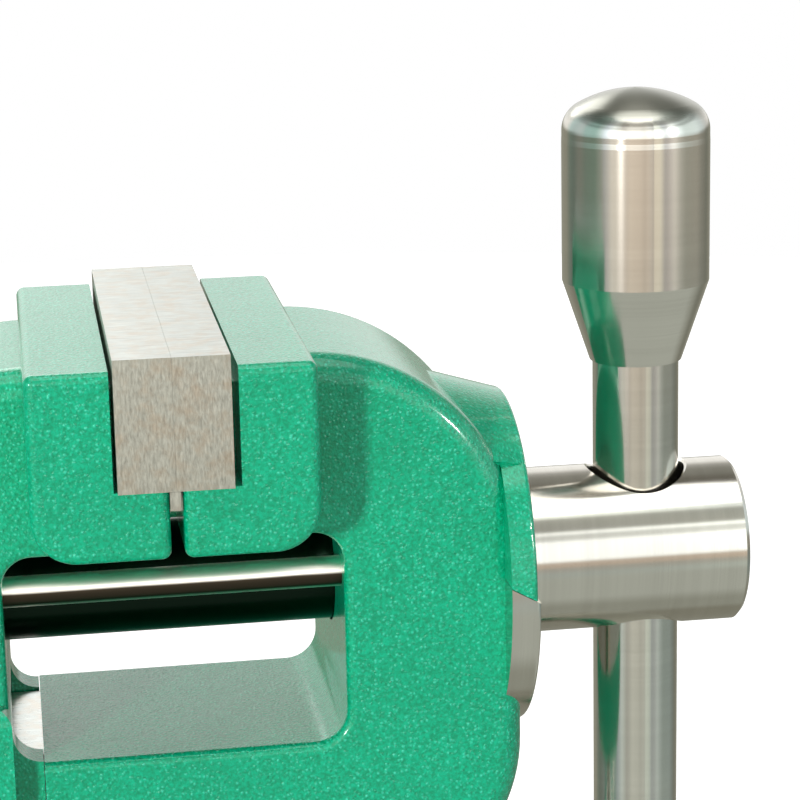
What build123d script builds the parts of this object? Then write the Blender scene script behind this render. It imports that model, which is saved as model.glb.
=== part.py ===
"""Ball vise: a small bench vise on a ball that clamps in a round foot.

The foot stands on the bench, its socket grips the ball, and the fixed jaw sits on the ball's stem.
The moving jaw slides on a steel bar and is driven by a spindle with a sliding T-bar.

Frame: the origin lies on the foot's underside, on the ball's upright axis. +X runs along the spindle
to its head, +Y to the back and +Z up. All sizes are in millimetres.
"""

import os
from math import asin, cos, degrees, pi, radians, sin, sqrt

from build123d import *

os.makedirs("parts", exist_ok=True)

# ---------------------------------------------------------------- driving dimensions

# the whole
ball_height = 44.0          # ball centre above the bench
body_over_ball = 52.0       # underside of the fixed jaw above the ball centre
axis_over_body = 50.0       # spindle axis above the underside of the fixed jaw
jaw_offset = 42.0           # closing plane of the jaws from the ball's axis
jaw_travel = 42.0           # how far the jaws open

# jaw plates, seen from the closing plane and the spindle axis
jaw_width = 63.0
plate_thickness = 7.45
plate_height = 17.5
plate_top = 38.0
closing_gap = 0.02          # between the two plates when closed

# jaw blocks
block_inset = 1.0           # block narrower than the plate, on each side
block_drop = 1.8            # block's top under the plate's top
block_reach = 18.7          # outer face of a block from the closing plane
block_bottom = 11.1         # underside of a block over the spindle axis
block_corner = 6.0
casting_gap = 1.7           # between the two castings, under the plates
moving_pocket_gap = 1.0     # dark line behind the moving plate
fixed_pocket_gap = 0.5      # and behind the fixed plate
pad_width = 46.0            # machined pad that a plate is screwed to
pad_height = 12.0
edge_round = 1.2

# arms and beam
arm_depth = 37.4
window_half = 22.8          # closing plane to the inside of either arm
arm_thickness = 24.5
limb_drop = 3.8             # arm's top under the plate's top
arm_corner = 28.8
arm_low_corner = 24.0
beam_top = -20.0
beam_bottom = -46.0
beam_end = -18.5
window_top_fixed = 8.9      # underside of each arm over the spindle axis, beside the blocks
window_top_moving = 9.8
window_upper_corner = 4.0
window_lower_corner = 4.5
arm_edge_round = 3.5

# boss on the moving arm
boss_radius = 23.8
boss_proud = 1.1            # boss's face in front of the arm's
boss_sunk = 2.5             # bare half plate's back behind the arm's face
plate_proud = 0.45          # bare half plate in front of the boss's face
boss_edge_round = 0.6
web_length = 10.5
web_rise = 3.3
seam_height = 1.9           # upper edge of the bare half plate, at its back
seam_fall = 2.0             # how far that edge falls towards the boss's face
seam_gap = 0.1
plate_edge_round = 0.6

# spindle
shank_radius = 7.8
thread_radius = 7.0
thread_pitch = 3.0
thread_depth = 1.5
shank_start = -24.6         # left end of the smooth shank
spindle_start = -84.5       # left end of the thread
groove_radius = 6.0
groove_clearance = 0.2
running_clearance = 0.07

# spindle head and T-bar
head_radius = 11.8
head_length = 32.15
head_gap = 0.5
head_chamfer = 0.6
tang_length = 9.0           # spindle end inside the head
bar_radius = 6.1
bar_hole_radius = 6.95
bar_hole_chamfer = 0.35
bar_place = 18.25           # T-bar from the head's inner face
bar_length = 78.0           # free length between the knobs
bar_raised = 27.4           # upper knob's neck over the spindle axis
knob_radius = 10.35
knob_cone = 11.4
knob_cylinder = 19.6
knob_rim = (1.5, 0.03)      # height of the burnished rim, and how far it draws in
knob_shoulder = 4.2
knob_crown = 1.6
knob_socket = 12.0
neck_radius = 6.5
brake_bore_radius = 1.9
brake_ball_radius = 1.8
brake_clearance = 0.05
brake_spring_wire = 0.4
brake_spring_length = 1.4
brake_screw_length = 1.8
head_pin_radius = 2.0
head_pin_place = 4.6
head_pin_depth = 16.0

# bush, nut and end stop
bush_radius = 10.5
bush_inset = 1.7
nut_length = 17.0
nut_radius = 10.5
nut_start = -42.0
tunnel_radius = 10.6
stop_washer_radius = 8.2
stop_washer_thickness = 2.0

# slide bar and guide rods
bar_top = -20.4
slide_height = 20.6
slide_width = 25.0
slide_end = -88.0
slide_clearance = 0.08
tenon_length = 36.0
tenon_width = 18.0
tenon_height = 11.0
tenon_drop = 5.6            # tenon's top under the slide bar's top
gib_thickness = 2.0
gib_end_gap = 3.0
rod_radius = 2.1
rod_spread = 13.8
rod_height = 3.1
rod_socket = 17.0
rod_spare = 15.0            # rod left in the fixed jaw when the jaws are open
rod_clearance = 0.05

# fixed jaw
rear_length = 90.0           # fixed jaw's rear end from the closing plane
rear_top = 14.0
rear_corner = 2.5
rear_round = 2.5
housing_top = -10.9
housing_depth = 44.0
housing_round = 2.5
housing_corner = 4.0
housing_face = -22.5
collar_depth = 34.6
collar_gap = 0.1            # collar to the end of the moving beam
collar_fillet = 3.9
entry_length = 3.5
entry_rise = 3.3
entry_side = 0.9
cover_thickness = 3.0
cover_inset = 2.7           # cover's edges inside the rear end's
cover_pitch_low = 9.0       # half the spread of its lower and upper screws
cover_pitch_high = 12.8
key_height = 2.5
key_length = 12.0
key_reach = 4.6
key_inset = 3.5             # body of the plate key behind the block's front face
key_clearance = 0.3
key_drop = 0.3

# ball and stem
ball_radius = 25.0
stem_radius = 9.0
flange_radius = 21.0
flange_thickness = 6.0
ball_clearance = 0.05

# socket and foot
foot_radius = 65.0
foot_edge = 8.0
foot_recess_radius = 46.0
foot_recess = 2.0
foot_slope_reach = 12.0     # foot's slope: outward from the socket, and up from the foot's edge
foot_slope_rise = 4.0
socket_wall = 5.4           # socket's wall outside the seat ring
socket_rise = 3.0           # socket's top over the ball's centre
drain_radius = 5.0
cup_wall = 1.4              # cup's rim outside the ball
cup_drop = 28.0             # cup's underside under the ball's centre
cup_clearance = 0.08
cup_height = 16.0
cup_lift = 4.0              # cup's underside above the socket's floor
cup_hole_radius = 6.0
spring_outer_radius = 23.0
spring_inner_radius = 9.0
spring_sheet = 1.4
spring_gap = 0.25
seat_wall = 5.6             # seat ring outside the ball
seat_bottom_rise = 1.8      # its two ends over the ball's centre
seat_top_rise = 12.0
seat_bore_depth = 1.6
ring_wall = 7.0
ring_drop = 20.0            # clamp ring's underside under the ball's centre
ring_top_rise = 16.0        # its top and its shoulder over the ball's centre
ring_shoulder_rise = 6.0
ring_clearance = 0.08
ring_play = 0.3
lip_inset = 0.8             # lip's edge inside the ball's widest round
lip_slope = 3.8             # lip's top outside that edge
flute_count = 12
flute_radius = 3.2
flute_depth = 1.7
key_pin_radius = 1.5
key_pin_inset = 2.2         # from the seat ring's outside
key_pin_depth = 6.0
key_pin_rise = 1.5
key_pin_clearance = 0.3
bolt_circle_radius = 54.0
bolt_hole_radius = 4.5
bolt_count = 4
bolt_spot_radius = 9.0
bolt_spot_depth = 1.0

# clamp lever
lever_radius = 5.0
lever_drop = 11.7           # under the ball's centre
lever_direction = 210.0     # degrees from +X, seen from above
lever_root = 6.0            # depth of the lever's hole in the ring
lever_length = 40.0
lever_knob_radius = 8.0
lever_knob_cone = 8.4
lever_knob_cylinder = 16.5
lever_knob_rim = (1.2, 0.03)
lever_knob_shoulder = 3.3
lever_knob_crown = 1.3
lever_knob_socket = 10.0
lever_neck_radius = 5.3

# screws: thread radius, head radius, head height
plate_screw = (2.5, 4.9, 2.6)
plate_screw_length = 14.0
plate_screw_spread = 18.0
plate_screw_drop = 8.5
slide_screw = (3.0, 5.0, 6.0)
slide_screw_length = 15.0
slide_screw_places = (-8.0, 8.0)
retaining_screw = (2.0, 3.8, 2.1)
retaining_screw_length = 10.0
retaining_screw_spread = 14.5
retaining_screw_drop = 11.5
flange_screw = (2.5, 4.9, 2.6)
flange_screw_length = 11.0
flange_screw_circle = 15.2
cover_screw = (1.5, 2.8, 1.7)
cover_screw_length = 8.0
set_screw_radius = 2.5
nut_screw_place = -33.5
nut_screw_length = 10.0
gib_screw_places = (-78.0, -55.0, -32.0)
stop_screw = (2.5, 4.2, 3.0)
stop_screw_length = 12.0
cap_clearance = 0.25        # round a cap screw's head

# ---------------------------------------------------------------- sizes worked out from these

body_bottom = ball_height + body_over_ball
axis_height = body_bottom + axis_over_body
jaw_half = jaw_width / 2
plate_bottom = plate_top - plate_height
block_top = plate_top - block_drop
limb_top = plate_top - limb_drop
arm_half = arm_depth / 2
arm_face = window_half + arm_thickness
boss_back = arm_face - boss_sunk
boss_face = arm_face + boss_proud
plate_face = boss_face + plate_proud
seam_slope = seam_fall / (boss_face - boss_back)
head_start = plate_face + head_gap
head_end = head_start + head_length
bar_x = head_start + bar_place
tang_end = head_start + tang_length
slide_bottom = bar_top - slide_height
slide_half = slide_width / 2
bar_low = bar_raised - bar_length
rod_start = -window_half - jaw_travel - rod_spare
body_floor = -axis_over_body
rear_end = -rear_length
housing_half = housing_depth / 2
cover_half = arm_half - cover_inset
cover_low = body_floor + cover_inset
cover_high = rear_top - cover_inset
cup_radius = ball_radius + cup_wall
cup_bottom = ball_height - cup_drop
cup_top = cup_bottom + cup_height
seat_radius = ball_radius + seat_wall
seat_bottom = ball_height + seat_bottom_rise
seat_top = ball_height + seat_top_rise
socket_radius = seat_radius + socket_wall
socket_floor = cup_bottom - cup_lift
socket_top = ball_height + socket_rise
ring_radius = socket_radius + ring_wall
ring_pitch_radius = socket_radius + ring_clearance
ring_bottom = ball_height - ring_drop
ring_top = ball_height + ring_top_rise
ring_shoulder = ball_height + ring_shoulder_rise
lip_radius = ball_radius - lip_inset
key_pin_place = seat_radius - key_pin_inset
lever_height = ball_height - lever_drop


# ---------------------------------------------------------------- planes and repeated forms

def side(y=0.0):
    """Upright plane along the spindle: local x from the closing plane, local y from the spindle axis."""
    return Plane(origin=(jaw_offset, y, axis_height), x_dir=(1, 0, 0), z_dir=(0, -1, 0))


def across(x):
    """Plane across the spindle at x from the closing plane: local x to the back, local y up."""
    return Plane(origin=(jaw_offset + x, 0, axis_height), x_dir=(0, 1, 0), z_dir=(1, 0, 0))


def level(z):
    """Level plane at z over the spindle axis, with its origin in the closing plane."""
    return Plane(origin=(jaw_offset, 0, axis_height + z), x_dir=(1, 0, 0), z_dir=(0, 0, 1))


def spot(x, y, z):
    """A point given from the closing plane, the middle and the spindle axis."""
    return Vector(jaw_offset + x, y, axis_height + z)


def outline_face(points, plane, radii=0.0):
    """A closed outline with rounded corners on a plane."""
    with BuildSketch(plane) as outline:
        with BuildLine():
            FilletPolyline(*points, radius=radii, close=True)
        make_face()
    return outline.sketch


def block(low, high, mode=Mode.ADD):
    """A square block between two corners, given from the closing plane, the middle and the axis."""
    middle = [(a + b) / 2 for a, b in zip(low, high)]
    with BuildSketch(level(low[2])) as floor:
        with Locations((middle[0], middle[1])):
            Rectangle(high[0] - low[0], high[1] - low[1])
    extrude(floor.sketch, amount=high[2] - low[2], mode=mode)


def turning_plane(origin, direction):
    """A plane through origin that holds the turning axis as its local x."""
    along = Vector(*direction)
    sideways = Vector(0, 0, 1) if abs(along.Z) < 0.5 else Vector(1, 0, 0)
    return Plane(origin, x_dir=along, z_dir=sideways)


def lathe(points, origin, direction, mode=Mode.ADD):
    """Turns an outline, given as (distance along, radius), about the line through origin."""
    along = Vector(*direction)
    with BuildSketch(turning_plane(origin, direction)) as outline:
        with BuildLine():
            Polyline(*points, close=True)
        make_face()
    revolve(outline.sketch, axis=Axis(origin, along), mode=mode)


def cylinder_along(origin, direction, radius, length, mode=Mode.ADD):
    """A round bar, or hole, from origin along direction."""
    lathe([(0, 0), (0, radius), (length, radius), (length, 0)], origin, direction, mode)


def hex_socket(face, direction, radius, depth):
    """Cuts a hexagon socket into a screw's face."""
    with BuildSketch(Plane(face, z_dir=-Vector(*direction))) as socket:
        RegularPolygon(radius, 6)
    extrude(socket.sketch, amount=-depth, mode=Mode.SUBTRACT)


def cap_screw(seat, direction, size, length):
    """Cap screw with its head's underside at seat and its shank along direction."""
    radius, head_r, head_h = size
    lathe([(-head_h, 0), (-head_h, head_r), (0, head_r), (0, radius), (length, radius), (length, 0)],
          seat, direction)
    hex_socket(seat - Vector(*direction) * head_h, direction, head_r * 0.55, head_h * 0.5)


def countersunk_screw(face, direction, size, length):
    """Countersunk screw with its head flush at face and its shank along direction."""
    radius, head_r, head_h = size
    lathe([(0, 0), (0, head_r), (head_h, radius), (length, radius), (length, 0)], face, direction)
    hex_socket(face, direction, head_r * 0.5, head_h * 0.7)


def countersunk_hole(face, direction, size, length):
    """The hole that such a screw fills."""
    radius, head_r, head_h = size
    lathe([(0, 0), (0, head_r), (head_h, radius), (length, radius), (length, 0)],
          face, direction, Mode.SUBTRACT)


def cap_hole(seat, direction, size, length, head_room):
    """The stepped hole of a cap screw: head_room is the depth of the wider part."""
    radius, head_r, _ = size
    wide = head_r + cap_clearance
    lathe([(-head_room, 0), (-head_room, wide), (0, wide), (0, radius), (length, radius), (length, 0)],
          seat, direction, Mode.SUBTRACT)


def knob(neck, direction, neck_r, cone, radius, cylinder, rim, shoulder, crown, socket_r, socket):
    """Turned knob: cone, cylinder, burnished rim and rounded dome, with a blind hole for its bar."""
    along = Vector(*direction)
    rim_height, rim_draw = rim
    rim_low = cone + cylinder
    rim_high = rim_low + rim_height
    rim_r = radius - rim_draw
    # the crown is a cap that starts where the shoulder's round has turned by shoulder_turn
    cap_r = rim_r - shoulder
    cap_ball = (cap_r ** 2 + crown ** 2) / (2 * crown)
    cap_slope = asin(cap_r / cap_ball)
    shoulder_turn = pi / 2 - cap_slope
    shoulder_end = (rim_high + shoulder * sin(shoulder_turn), cap_r + shoulder * cos(shoulder_turn))
    shoulder_middle = (rim_high + shoulder * sin(shoulder_turn / 2),
                       cap_r + shoulder * cos(shoulder_turn / 2))
    crown_ball = shoulder_end[1] / sin(cap_slope)
    crown_middle = (shoulder_end[0] + crown_ball * (cos(cap_slope / 2) - cos(cap_slope)),
                    crown_ball * sin(cap_slope / 2))
    crown_top = (shoulder_end[0] + crown_ball * (1 - cos(cap_slope)), 0)
    with BuildSketch(turning_plane(neck, direction)) as outline:
        with BuildLine():
            Polyline((0, 0), (0, neck_r), (cone, radius), (rim_low, radius),
                     (rim_low + rim_height / 2, rim_r), (rim_high, rim_r))
            ThreePointArc((rim_high, rim_r), shoulder_middle, shoulder_end)
            ThreePointArc(shoulder_end, crown_middle, crown_top)
            Line(crown_top, (0, 0))
        make_face()
    revolve(outline.sketch, axis=Axis(neck, along))
    cylinder_along(neck, direction, socket_r, socket, Mode.SUBTRACT)


def edges_where(part, test):
    """Edges of a part whose middle, from the closing plane and the spindle axis, passes a test."""
    home = Vector(jaw_offset, 0, axis_height)
    return part.edges().filter_by(lambda edge: test(edge.center() - home))


def on_face(place, half_depth):
    """True on the front or back face of a form that is half_depth deep on each side."""
    return abs(abs(place.Y) - half_depth) < 0.01


# ---------------------------------------------------------------- castings: shared forms

def jaw_block_form(hand, pocket_gap):
    """The block that holds a jaw plate; hand is 1 for the moving jaw and -1 for the fixed one."""
    half_depth = jaw_half - block_inset
    near = casting_gap / 2
    outline = outline_face(
        [(hand * near, block_bottom), (hand * block_reach, block_bottom),
         (hand * block_reach, block_top), (hand * near, block_top)],
        side(), [edge_round, block_corner, edge_round, 0])
    with BuildPart() as form:
        extrude(outline, amount=half_depth, both=True)
        fillet(edges_where(form.part, lambda p: on_face(p, half_depth)), edge_round)
        wall = closing_gap / 2 + plate_thickness
        pocket = sorted([0.0, hand * (wall + pocket_gap)])
        block((pocket[0], -jaw_half, plate_bottom), (pocket[1], jaw_half, plate_top), Mode.SUBTRACT)
        pad = sorted([hand * wall, hand * (wall + pocket_gap + 1.0)])
        block((pad[0], -pad_width / 2, plate_bottom), (pad[1], pad_width / 2, plate_bottom + pad_height))
    return form.part


def plate_screw_threads(hand):
    """Cuts the threads of a plate's two screws into the casting being built."""
    for y in (-plate_screw_spread, plate_screw_spread):
        cylinder_along(spot(hand * plate_thickness, y, plate_top - plate_screw_drop), (hand, 0, 0),
                       plate_screw[0], plate_screw_length - plate_thickness + closing_gap, Mode.SUBTRACT)


def jaw_plate_form(hand):
    """A jaw plate with its two countersunk holes."""
    with BuildPart() as form:
        faces = sorted([hand * closing_gap / 2, hand * (closing_gap / 2 + plate_thickness)])
        block((faces[0], -jaw_half, plate_bottom), (faces[1], jaw_half, plate_top))
        for y in (-plate_screw_spread, plate_screw_spread):
            countersunk_hole(spot(hand * closing_gap / 2, y, plate_top - plate_screw_drop),
                             (hand, 0, 0), plate_screw, plate_thickness + 1)
    return form.part


def plate_screws_form(hand):
    """The two screws of a jaw plate."""
    with BuildPart() as form:
        for y in (-plate_screw_spread, plate_screw_spread):
            countersunk_screw(spot(hand * closing_gap / 2, y, plate_top - plate_screw_drop),
                              (hand, 0, 0), plate_screw, plate_screw_length)
    return form.part


# ---------------------------------------------------------------- moving jaw

limb_root = block_reach / 2
with BuildPart() as moving_frame:
    extrude(outline_face(
        [(limb_root, limb_top), (arm_face, limb_top), (arm_face, beam_bottom), (beam_end, beam_bottom),
         (beam_end, beam_top), (window_half, beam_top), (window_half, window_top_moving),
         (limb_root, window_top_moving)],
        side(), [0, arm_corner, arm_low_corner, 0, 0, window_lower_corner, window_upper_corner, 0]),
        amount=arm_half, both=True)
    outer_edges = edges_where(moving_frame.part, lambda p: on_face(p, arm_half) and (
        p.X > window_half + 1 or p.Z > limb_top - 1 or p.Z < beam_bottom + 1))
    fillet(outer_edges, arm_edge_round)
    inner_edges = edges_where(moving_frame.part, lambda p: on_face(p, arm_half) and (
        beam_end + 1 < p.X < window_half + 1 and beam_top - 1 < p.Z < block_bottom + 1))
    fillet(inner_edges, edge_round)

web_angle = degrees(asin(arm_half / (boss_radius + web_rise)))


def lower_half_disc(end, seam_drop):
    """The part of the boss's disc under its slanting seam, from the disc's back to end."""
    beyond = end + 1
    with BuildPart() as form:
        cylinder_along(spot(boss_back, 0, 0), (1, 0, 0), boss_radius, end - boss_back)
        extrude(outline_face(
            [(boss_back - 1, seam_height + seam_slope - seam_drop),
             (beyond, seam_height - seam_slope * (beyond - boss_back) - seam_drop),
             (beyond, boss_radius + 1), (boss_back - 1, boss_radius + 1)], side()),
            amount=boss_radius + 2, both=True, mode=Mode.SUBTRACT)
    return form.part


with BuildPart() as boss:
    cylinder_along(spot(boss_back, 0, 0), (1, 0, 0), boss_radius, boss_face - boss_back)
    fillet(boss.edges().group_by(Axis.X)[-1], boss_edge_round)

with BuildPart() as moving_jaw:
    add(moving_frame.part)
    add(jaw_block_form(1, moving_pocket_gap))
    plate_screw_threads(1)
    # the boss, and the web over it that runs back across the arm's rounded corner
    add(boss.part)
    web_plane = Plane(origin=spot(0, 0, 0), x_dir=(1, 0, 0),
                      z_dir=(0, -cos(radians(web_angle)), sin(radians(web_angle))))
    web_end = boss_face - boss_edge_round
    with BuildSketch(web_plane) as web:
        with BuildLine():
            Polyline((arm_face - web_length, tunnel_radius), (arm_face - web_length, boss_radius + web_rise),
                     (web_end, boss_radius), (web_end, tunnel_radius), close=True)
        make_face()
    revolve(web.sketch, axis=Axis(spot(0, 0, 0), (1, 0, 0)), revolution_arc=2 * web_angle)
    # the lower half of the boss is the bare plate's place
    add(lower_half_disc(boss_face + 1, 0), mode=Mode.SUBTRACT)
    # bore of the bush, and the narrower one in the window's wall
    cylinder_along(spot(window_half + bush_inset, 0, 0), (1, 0, 0), bush_radius,
                   boss_face - window_half, Mode.SUBTRACT)
    cylinder_along(spot(window_half - window_upper_corner, 0, 0), (1, 0, 0), shank_radius + key_clearance,
                   bush_inset + window_upper_corner + 1, Mode.SUBTRACT)
    # sockets of the guide rods
    for y in (-rod_spread, rod_spread):
        cylinder_along(spot(window_half - 1, y, rod_height), (1, 0, 0), rod_radius,
                       rod_socket + 1, Mode.SUBTRACT)
    # socket of the slide bar's tenon and its two screws from below
    tenon_top = bar_top - tenon_drop
    block((beam_end - 1, -tenon_width / 2, tenon_top - tenon_height),
          (beam_end + tenon_length, tenon_width / 2, tenon_top), Mode.SUBTRACT)
    for x in slide_screw_places:
        cap_hole(spot(x, 0, beam_bottom + slide_screw[2] + 1), (0, 0, 1), slide_screw,
                 slide_screw_length, slide_screw[2] + 2)
    for y in (-retaining_screw_spread, retaining_screw_spread):
        cylinder_along(spot(plate_face - retaining_screw_length, y, -retaining_screw_drop), (1, 0, 0),
                       retaining_screw[0], retaining_screw_length, Mode.SUBTRACT)
moving_jaw.part.label = "moving_jaw"
export_step(moving_jaw.part, "parts/moving_jaw.step")

moving_jaw_plate = jaw_plate_form(1)
moving_jaw_plate.label = "moving_jaw_plate"
export_step(moving_jaw_plate, "parts/moving_jaw_plate.step")

moving_plate_screws = plate_screws_form(1)
moving_plate_screws.label = "moving_plate_screws"
export_step(moving_plate_screws, "parts/moving_plate_screws.step")

with BuildPart() as slide_bar:
    block((slide_end, -slide_half, slide_bottom), (beam_end, slide_half, bar_top))
    chamfer(slide_bar.edges().filter_by(Axis.X), 0.4)
    block((beam_end - 1, -tenon_width / 2, tenon_top - tenon_height),
          (beam_end + tenon_length, tenon_width / 2, tenon_top))
    for x in slide_screw_places:
        cylinder_along(spot(x, 0, tenon_top - tenon_height - 1), (0, 0, 1), slide_screw[0],
                       slide_screw_length - (tenon_top - tenon_height - beam_bottom - slide_screw[2] - 2),
                       Mode.SUBTRACT)
slide_bar.part.label = "slide_bar"
export_step(slide_bar.part, "parts/slide_bar.step")

with BuildPart() as slide_bar_screws:
    for x in slide_screw_places:
        cap_screw(spot(x, 0, beam_bottom + slide_screw[2] + 1), (0, 0, 1), slide_screw, slide_screw_length)
slide_bar_screws.part.label = "slide_bar_screws"
export_step(slide_bar_screws.part, "parts/slide_bar_screws.step")

for rod_name, y in (("guide_rod_front", -rod_spread), ("guide_rod_rear", rod_spread)):
    with BuildPart() as guide_rod:
        cylinder_along(spot(rod_start, y, rod_height), (1, 0, 0), rod_radius,
                       window_half + rod_socket - rod_start)
        chamfer(guide_rod.edges().group_by(Axis.X)[0], 0.5)
    guide_rod.part.label = rod_name
    export_step(guide_rod.part, "parts/" + rod_name + ".step")

with BuildPart() as arm_bush:
    bush_start = window_half + bush_inset
    cylinder_along(spot(bush_start, 0, 0), (1, 0, 0), bush_radius, boss_back - bush_start)
    cylinder_along(spot(bush_start - 1, 0, 0), (1, 0, 0), shank_radius + running_clearance,
                   boss_back - bush_start + 2, Mode.SUBTRACT)
arm_bush.part.label = "arm_bush"
export_step(arm_bush.part, "parts/arm_bush.step")

with BuildPart() as retaining_plate:
    add(lower_half_disc(plate_face, seam_gap))
    fillet(edges_where(retaining_plate.part, lambda p: p.X > plate_face - 0.01 and p.Z < -boss_radius / 2),
           plate_edge_round)
    cylinder_along(spot(boss_back - 1, 0, 0), (1, 0, 0), groove_radius + running_clearance,
                   plate_face - boss_back + 2, Mode.SUBTRACT)
    for y in (-retaining_screw_spread, retaining_screw_spread):
        countersunk_hole(spot(plate_face, y, -retaining_screw_drop), (-1, 0, 0), retaining_screw,
                         plate_face - boss_back + 1)
retaining_plate.part.label = "retaining_plate"
export_step(retaining_plate.part, "parts/retaining_plate.step")

with BuildPart() as retaining_screws:
    for y in (-retaining_screw_spread, retaining_screw_spread):
        countersunk_screw(spot(plate_face, y, -retaining_screw_drop), (-1, 0, 0), retaining_screw,
                          retaining_screw_length)
retaining_screws.part.label = "retaining_screws"
export_step(retaining_screws.part, "parts/retaining_screws.step")

# ---------------------------------------------------------------- spindle and its head

groove_start = boss_back - groove_clearance
groove_end = plate_face + groove_clearance
thread_count = int((shank_start - spindle_start) / thread_pitch)
thread_outline = [(spindle_start, 0)]
for turn in range(thread_count):
    crest = spindle_start + turn * thread_pitch
    thread_outline += [(crest, thread_radius - thread_depth), (crest + 0.3 * thread_pitch, thread_radius),
                       (crest + 0.65 * thread_pitch, thread_radius),
                       (crest + 0.95 * thread_pitch, thread_radius - thread_depth)]
with BuildPart() as spindle:
    lathe(thread_outline + [
        (shank_start, thread_radius - thread_depth), (shank_start, shank_radius),
        (groove_start, shank_radius), (groove_start, groove_radius), (groove_end, groove_radius),
        (groove_end, shank_radius), (tang_end, shank_radius), (tang_end, 0)], spot(0, 0, 0), (1, 0, 0))
    cylinder_along(spot(spindle_start - 1, 0, 0), (1, 0, 0), stop_screw[0],
                   stop_screw_length - stop_washer_thickness + 1, Mode.SUBTRACT)
    pin_x = head_start + head_pin_place
    cylinder_along(spot(pin_x, head_radius + 1, 0), (0, -1, 0), head_pin_radius,
                   head_pin_depth + 1.5, Mode.SUBTRACT)
spindle.part.label = "spindle"
export_step(spindle.part, "parts/spindle.step")

with BuildPart() as spindle_head:
    cylinder_along(spot(head_start, 0, 0), (1, 0, 0), head_radius, head_length)
    chamfer(spindle_head.edges().group_by(Axis.X)[-1], head_chamfer)
    cylinder_along(spot(bar_x, 0, -head_radius - 1), (0, 0, 1), bar_hole_radius,
                   2 * head_radius + 2, Mode.SUBTRACT)
    rims = edges_where(spindle_head.part, lambda p: abs(p.X - bar_x) < bar_hole_radius
                       and abs(p.Z) > head_radius / 2)
    chamfer(rims, bar_hole_chamfer)
    cylinder_along(spot(head_start - 1, 0, 0), (1, 0, 0), shank_radius, tang_length + 1, Mode.SUBTRACT)
    cylinder_along(spot(bar_x, 0, 0), (1, 0, 0), brake_bore_radius, head_end - bar_x + 1, Mode.SUBTRACT)
    cylinder_along(spot(pin_x, head_radius + 1, 0), (0, -1, 0), head_pin_radius,
                   head_pin_depth + 1.5, Mode.SUBTRACT)
spindle_head.part.label = "spindle_head"
export_step(spindle_head.part, "parts/spindle_head.step")

with BuildPart() as head_pin:
    cylinder_along(spot(pin_x, head_radius - 0.5, 0), (0, -1, 0), head_pin_radius, head_pin_depth)
head_pin.part.label = "head_pin"
export_step(head_pin.part, "parts/head_pin.step")

with BuildPart() as stop_washer:
    cylinder_along(spot(spindle_start - stop_washer_thickness, 0, 0), (1, 0, 0), stop_washer_radius,
                   stop_washer_thickness)
    cylinder_along(spot(spindle_start - stop_washer_thickness - 1, 0, 0), (1, 0, 0), stop_screw[0],
                   stop_washer_thickness + 2, Mode.SUBTRACT)
stop_washer.part.label = "stop_washer"
export_step(stop_washer.part, "parts/stop_washer.step")

with BuildPart() as stop_screw_solid:
    cap_screw(spot(spindle_start - stop_washer_thickness, 0, 0), (1, 0, 0), stop_screw, stop_screw_length)
stop_screw_solid.part.label = "stop_screw"
export_step(stop_screw_solid.part, "parts/stop_screw.step")

ball_x = bar_x + bar_radius + brake_clearance + brake_ball_radius
with BuildPart() as brake_ball:
    with BuildSketch(side()) as half_disc:
        with BuildLine():
            Line((ball_x - brake_ball_radius, 0), (ball_x + brake_ball_radius, 0))
            ThreePointArc((ball_x + brake_ball_radius, 0), (ball_x, brake_ball_radius),
                          (ball_x - brake_ball_radius, 0))
        make_face()
    revolve(half_disc.sketch, axis=Axis(spot(0, 0, 0), (1, 0, 0)))
brake_ball.part.label = "brake_ball"
export_step(brake_ball.part, "parts/brake_ball.step")

spring_x = ball_x + brake_ball_radius * 0.75
with BuildPart() as brake_spring:
    coil_radius = brake_bore_radius - brake_spring_wire - 0.2
    with BuildLine() as coil:
        Helix(pitch=brake_spring_length / 2.5, height=brake_spring_length, radius=coil_radius,
              center=spot(spring_x + brake_spring_wire / 2, 0, 0), direction=(1, 0, 0))
    with BuildSketch(Plane(coil.line @ 0, z_dir=coil.line % 0)) as wire:
        Circle(brake_spring_wire / 2)
    sweep(path=coil.line)
brake_spring.part.label = "brake_spring"
export_step(brake_spring.part, "parts/brake_spring.step")

with BuildPart() as brake_screw:
    cylinder_along(spot(head_end - head_chamfer, 0, 0), (-1, 0, 0), brake_bore_radius, brake_screw_length)
    hex_socket(spot(head_end - head_chamfer, 0, 0), (-1, 0, 0), brake_bore_radius * 0.6,
               brake_screw_length * 0.6)
brake_screw.part.label = "brake_screw"
export_step(brake_screw.part, "parts/brake_screw.step")

# ---------------------------------------------------------------- T-bar

with BuildPart() as handle_bar:
    cylinder_along(spot(bar_x, 0, bar_low - knob_socket), (0, 0, 1), bar_radius,
                   bar_length + 2 * knob_socket)
handle_bar.part.label = "handle_bar"
export_step(handle_bar.part, "parts/handle_bar.step")

for knob_name, neck_z, up in (("upper_knob", bar_raised, 1), ("lower_knob", bar_low, -1)):
    with BuildPart() as handle_knob:
        knob(spot(bar_x, 0, neck_z), (0, 0, up), neck_radius, knob_cone, knob_radius, knob_cylinder,
             knob_rim, knob_shoulder, knob_crown, bar_radius, knob_socket)
    handle_knob.part.label = knob_name
    export_step(handle_knob.part, "parts/" + knob_name + ".step")

# ---------------------------------------------------------------- fixed jaw

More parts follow.
